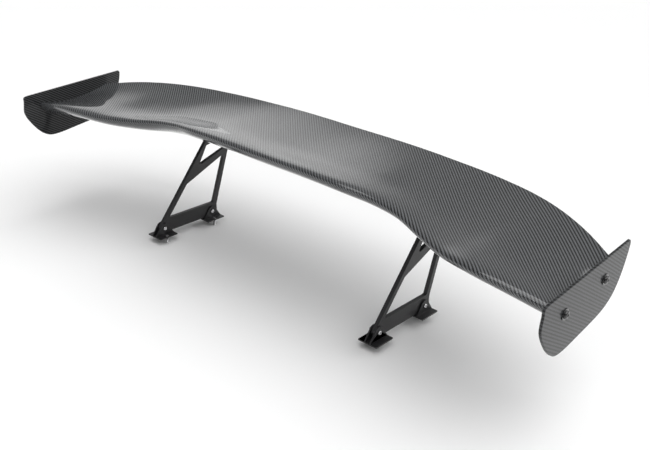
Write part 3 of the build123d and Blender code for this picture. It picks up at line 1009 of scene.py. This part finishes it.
@dataclass
class CrossJoint:
    """An M6 button bolt through two ears, with its washers and locknut."""

    head_seat: float = 9.6
    washer: Washer = Washer(6.2, 3.0, 0.8)
    nut: LockNut = LockNut(5.77, 3.0, 6.0)
    bolt: ButtonBolt = ButtonBolt(3.0, 5.25, 2.6, 26.7, 2.3, 1.6)

    def build(
        self,
        finisher: Finisher,
        setting: SettingOut,
        body: str,
        places: list[Vector],
        names: dict[str, str],
    ) -> None:
        """Set out the joint's pieces.

        Args:
            finisher: hands out the finishes.
            setting: sets the pieces out.
            body: the body that they move with.
            places: the middle of each joint, in metres.
            names: the CAD nodes of the bolts, nuts and washers, any of which may be left out.
        """
        right, left = Vector((1.0, 0.0, 0.0)), Vector((-1.0, 0.0, 0.0))
        seat = right * self.head_seat * MM
        under = right * (self.head_seat - self.washer.thickness) * MM
        rows = {
            "bolt": (
                turned_mesh("m6_bolt", self.bolt.rings()),
                [(p + seat, right) for p in places],
            ),
            "nut": (
                turned_mesh("m6_nut", self.nut.rings(), closed=True),
                [(p - seat, left) for p in places],
            ),
            "washers": (
                turned_mesh("m6_washer", self.washer.rings(), closed=True),
                [(p + under, right) for p in places] + [(p - under, left) for p in places],
            ),
        }
        slots = {"bolt": "bright_steel", "nut": "nut_steel", "washers": "black_fastener"}
        for kind, node in names.items():
            pattern, seats = rows[kind]
            metal = finisher.material(slots[kind])
            piece = setting.set_out(f"{node}_turned", pattern, seats, metal)
            place_piece(piece, body, (node,))


@dataclass
class Stands:
    """The two plate stands."""

    edge_ease: float = 0.0007

    def build(self, finisher: Finisher) -> None:
        """Make both stands with eased edges."""
        black = finisher.material("stand")
        for side, _ in SIDES:
            node = f"{side}_stand"
            piece = eased_copy(node, f"{side}_stand_plate", self.edge_ease, black)
            place_piece(piece, "stands", (node,))


@dataclass
class Feet:
    """The four tilting feet, each with its stud and cross bolt."""

    edge_ease: float = 0.00035
    stud_edge: float = 0.15
    stud_lip: float = 0.2
    socket_edge: float = 0.1
    joint: CrossJoint = field(default_factory=CrossJoint)
    stud: ButtonBolt = ButtonBolt(3.0, 4.6, 1.2, 19.8, 2.0, 0.7, thread_length=17.5)

    def stud_rings(self) -> list[Ring]:
        """Return the rings of a stud with a flush head."""
        head, top = self.stud.head_radius, self.stud.head_height
        return self.stud.shank() + [
            Ring(head, 0.0),
            Ring(head, top - self.stud_edge),
            Ring(head - self.stud_lip, top),
            Ring(self.stud.socket_radius + self.stud_lip, top),
            Ring(self.stud.socket_radius, top - self.socket_edge, Outline.HEX),
            Ring(self.stud.socket_radius, top - self.stud.socket_depth, Outline.HEX),
            Ring(0.0, top - self.stud.socket_depth),
        ]

    def build(self, finisher: Finisher, setting: SettingOut) -> None:
        """Make every foot and its fasteners."""
        up = Vector((0.0, 0.0, 1.0))
        steel = finisher.material("bright_steel")
        pattern = turned_mesh("foot_stud", self.stud_rings())
        for side, sign in SIDES:
            for row in ROWS:
                foot = f"{side}_{row}_foot"
                piece = eased_copy(foot, f"{foot}_shoe", self.edge_ease, finisher.material("foot"))
                place_piece(piece, foot, (foot,))
                low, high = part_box(f"{foot}_bolt")
                middle = Vector((sign * STAND_X * MM, (low.y + high.y) / 2, (low.z + high.z) / 2))
                names = {kind: f"{foot}_{kind}" for kind in ("bolt", "nut", "washers")}
                self.joint.build(finisher, setting, foot, [middle], names)
                low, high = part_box(f"{foot}_stud")
                seat = (low + high) / 2
                seat.z = high.z - self.stud.head_height * MM
                stud = setting.set_out(f"{foot}_threaded_stud", pattern, [(seat, up)], steel)
                place_piece(stud, foot, (f"{foot}_stud",))


@dataclass
class WingMounts:
    """The brackets and pads under the wing, with their screws and cross bolts."""

    bracket_ease: float = 0.0004
    slope: float = radians(9.0)
    middle: tuple[float, float] = (115.0, 252.4)
    plate: float = 3.0
    spread: float = 17.0
    reach: float = 42.0
    joint: CrossJoint = field(default_factory=CrossJoint)
    screw: ButtonBolt = ButtonBolt(3.0, 5.25, 2.6, 27.0, 2.3, 1.6)

    def screw_seats(self) -> list[tuple[Vector, Vector]]:
        """Return the place and heading of every bracket screw's seat."""
        along = Vector((0.0, cos(self.slope), sin(self.slope)))
        down = Vector((0.0, sin(self.slope), -cos(self.slope)))
        seats = []
        for _, sign in SIDES:
            centre = Vector((sign * STAND_X, *self.middle)) + down * self.plate
            for dx in (-self.spread, self.spread):
                for dy in (-self.reach, self.reach):
                    seats.append(((centre + Vector((dx, 0.0, 0.0)) + along * dy) * MM, down))
        return seats

    def build(self, finisher: Finisher, setting: SettingOut) -> None:
        """Make the brackets and set out their fasteners."""
        black = finisher.material("bracket")
        for side, _ in SIDES:
            node = f"{side}_mount_bracket"
            piece = eased_copy(node, f"{side}_bracket_folded", self.bracket_ease, black)
            place_piece(piece, "wing", (node,))
        screws = setting.set_out(
            "bracket_button_screws",
            turned_mesh("bracket_screw", self.screw.rings()),
            self.screw_seats(),
            finisher.material("bright_steel"),
        )
        place_piece(screws, "wing", ("bracket_screws",))
        places = {}
        for node in ("wing_pivot_bolts", "incidence_bolts"):
            low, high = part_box(node)
            middle = (low + high) / 2
            places[node] = [Vector((sign * STAND_X * MM, middle.y, middle.z)) for _, sign in SIDES]
            self.joint.build(finisher, setting, "wing", places[node], {"bolt": node})
        everywhere = places["wing_pivot_bolts"] + places["incidence_bolts"]
        names = {"nut": "wing_mount_nuts", "washers": "wing_mount_washers"}
        self.joint.build(finisher, setting, "wing", everywhere, names)


@dataclass
class Studio:
    """The pale floor, the soft lights and the camera."""

    floor_z: float = -0.018
    floor_half: float = 30.0
    floor_colour: tuple[float, float, float, float] = (0.9, 0.9, 0.9, 1.0)
    floor_roughness: float = 0.9
    floor_specular: float = 0.1
    world_strength: float = 0.26
    glow_direction: tuple[float, float, float] = (-0.71, 0.68, 0.20)
    glow_edge: float = 0.945
    glow_strength: float = 0.85
    overhead_strength: float = 3.0
    overhead_angle: float = radians(85.0)
    overhead_turn: tuple[float, float, float] = (radians(-16.0), radians(23.0), 0.0)
    strip_place: tuple[float, float, float] = (0.9, -1.7, 2.3)
    strip_size: tuple[float, float] = (2.6, 0.1)
    strip_power: float = 13.0
    strip_aim: tuple[float, float, float] = (0.0, 0.05, 0.25)
    eye: tuple[float, float, float] = (1.3004, -1.3257, 0.9765)
    yaw: float = radians(41.402)
    pitch: float = radians(24.686)
    roll: float = radians(2.112)
    lens: float = 48.17
    sensor_width: float = 36.0
    clip: tuple[float, float] = (0.05, 100.0)

    def floor(self) -> None:
        """Lay the floor."""
        half = self.floor_half
        mesh = bpy.data.meshes.new("studio_floor")
        corners = [(-half, -half), (half, -half), (half, half), (-half, half)]
        mesh.from_pydata([(x, y, self.floor_z) for x, y in corners], [], [(0, 1, 2, 3)])
        material, _, shader = new_material("studio_paper")
        shader.inputs["Base Color"].default_value = self.floor_colour
        shader.inputs["Roughness"].default_value = self.floor_roughness
        shader.inputs["Specular IOR Level"].default_value = self.floor_specular
        mesh.materials.append(material)
        new_object("studio_floor", mesh)

    def strip(self) -> None:
        """Hang the long soft box that lights the wing's crest."""
        lamp = bpy.data.lights.new("crest_strip", "AREA")
        lamp.shape = "RECTANGLE"
        lamp.size, lamp.size_y = self.strip_size
        lamp.energy = self.strip_power
        holder = bpy.data.objects.new("crest_strip", lamp)
        aim = Vector(self.strip_aim) - Vector(self.strip_place)
        turn = aim.to_track_quat("-Z", "Y").to_matrix().to_4x4()
        holder.matrix_world = Matrix.Translation(self.strip_place) @ turn
        holder.visible_camera = False
        bpy.context.scene.collection.objects.link(holder)

    def sky_panel(self) -> None:
        """Hang the broad overhead light, soft enough for shadows without edges."""
        lamp = bpy.data.lights.new("overhead_panel", "SUN")
        lamp.energy = self.overhead_strength
        lamp.angle = self.overhead_angle
        holder = bpy.data.objects.new("overhead_panel", lamp)
        holder.rotation_euler = self.overhead_turn
        bpy.context.scene.collection.objects.link(holder)

    def camera(self) -> None:
        """Set up the camera."""
        ahead = Vector(
            (-sin(self.yaw) * cos(self.pitch), cos(self.yaw) * cos(self.pitch), -sin(self.pitch))
        )
        level = Vector((cos(self.yaw), sin(self.yaw), 0.0))
        above = level.cross(ahead)
        right = cos(self.roll) * level + sin(self.roll) * above
        top = cos(self.roll) * above - sin(self.roll) * level
        data = bpy.data.cameras.new("view_camera")
        data.sensor_width = self.sensor_width
        data.lens = self.lens
        data.clip_start, data.clip_end = self.clip
        camera = bpy.data.objects.new("view_camera", data)
        turn = Matrix((right, top, -ahead)).transposed().to_4x4()
        camera.matrix_world = Matrix.Translation(self.eye) @ turn
        bpy.context.scene.collection.objects.link(camera)
        bpy.context.scene.camera = camera

    def build(self) -> None:
        """Set the stage."""
        world = bpy.data.worlds.new("studio_world")
        world.use_nodes = True
        background = world.node_tree.nodes["Background"]
        graph = NodeGraph(world.node_tree)
        sky = graph.add("ShaderNodeTexCoord")
        nearness = graph.add("ShaderNodeVectorMath", operation="DOT_PRODUCT")
        graph.join(sky.outputs["Generated"], nearness.inputs[0])
        nearness.inputs[1].default_value = Vector(self.glow_direction).normalized()
        glow = graph.add("ShaderNodeMapRange", interpolation_type="SMOOTHERSTEP")
        graph.join(nearness.outputs["Value"], glow.inputs["Value"])
        glow.inputs["From Min"].default_value = self.glow_edge
        glow.inputs["From Max"].default_value = 1.0
        glow.inputs["To Min"].default_value = self.world_strength
        glow.inputs["To Max"].default_value = self.glow_strength
        background.inputs["Color"].default_value = (1.0, 1.0, 1.0, 1.0)
        graph.join(glow.outputs["Result"], background.inputs["Strength"])
        bpy.context.scene.world = world
        bpy.context.scene.view_settings.view_transform = "Standard"
        self.floor()
        self.sky_panel()
        self.strip()
        self.camera()


def main() -> None:
    """Build every sub-assembly in order."""
    logging.basicConfig(level=logging.INFO, format="%(name)s: %(message)s")
    finisher = Finisher()
    finisher.dress_nodes()
    setting = SettingOut()
    WingShell().build(finisher)
    EndPlates().build(finisher, setting)
    Stands().build(finisher)
    Feet().build(finisher, setting)
    WingMounts().build(finisher, setting)
    Studio().build()


if __name__ == "__main__":
    main()
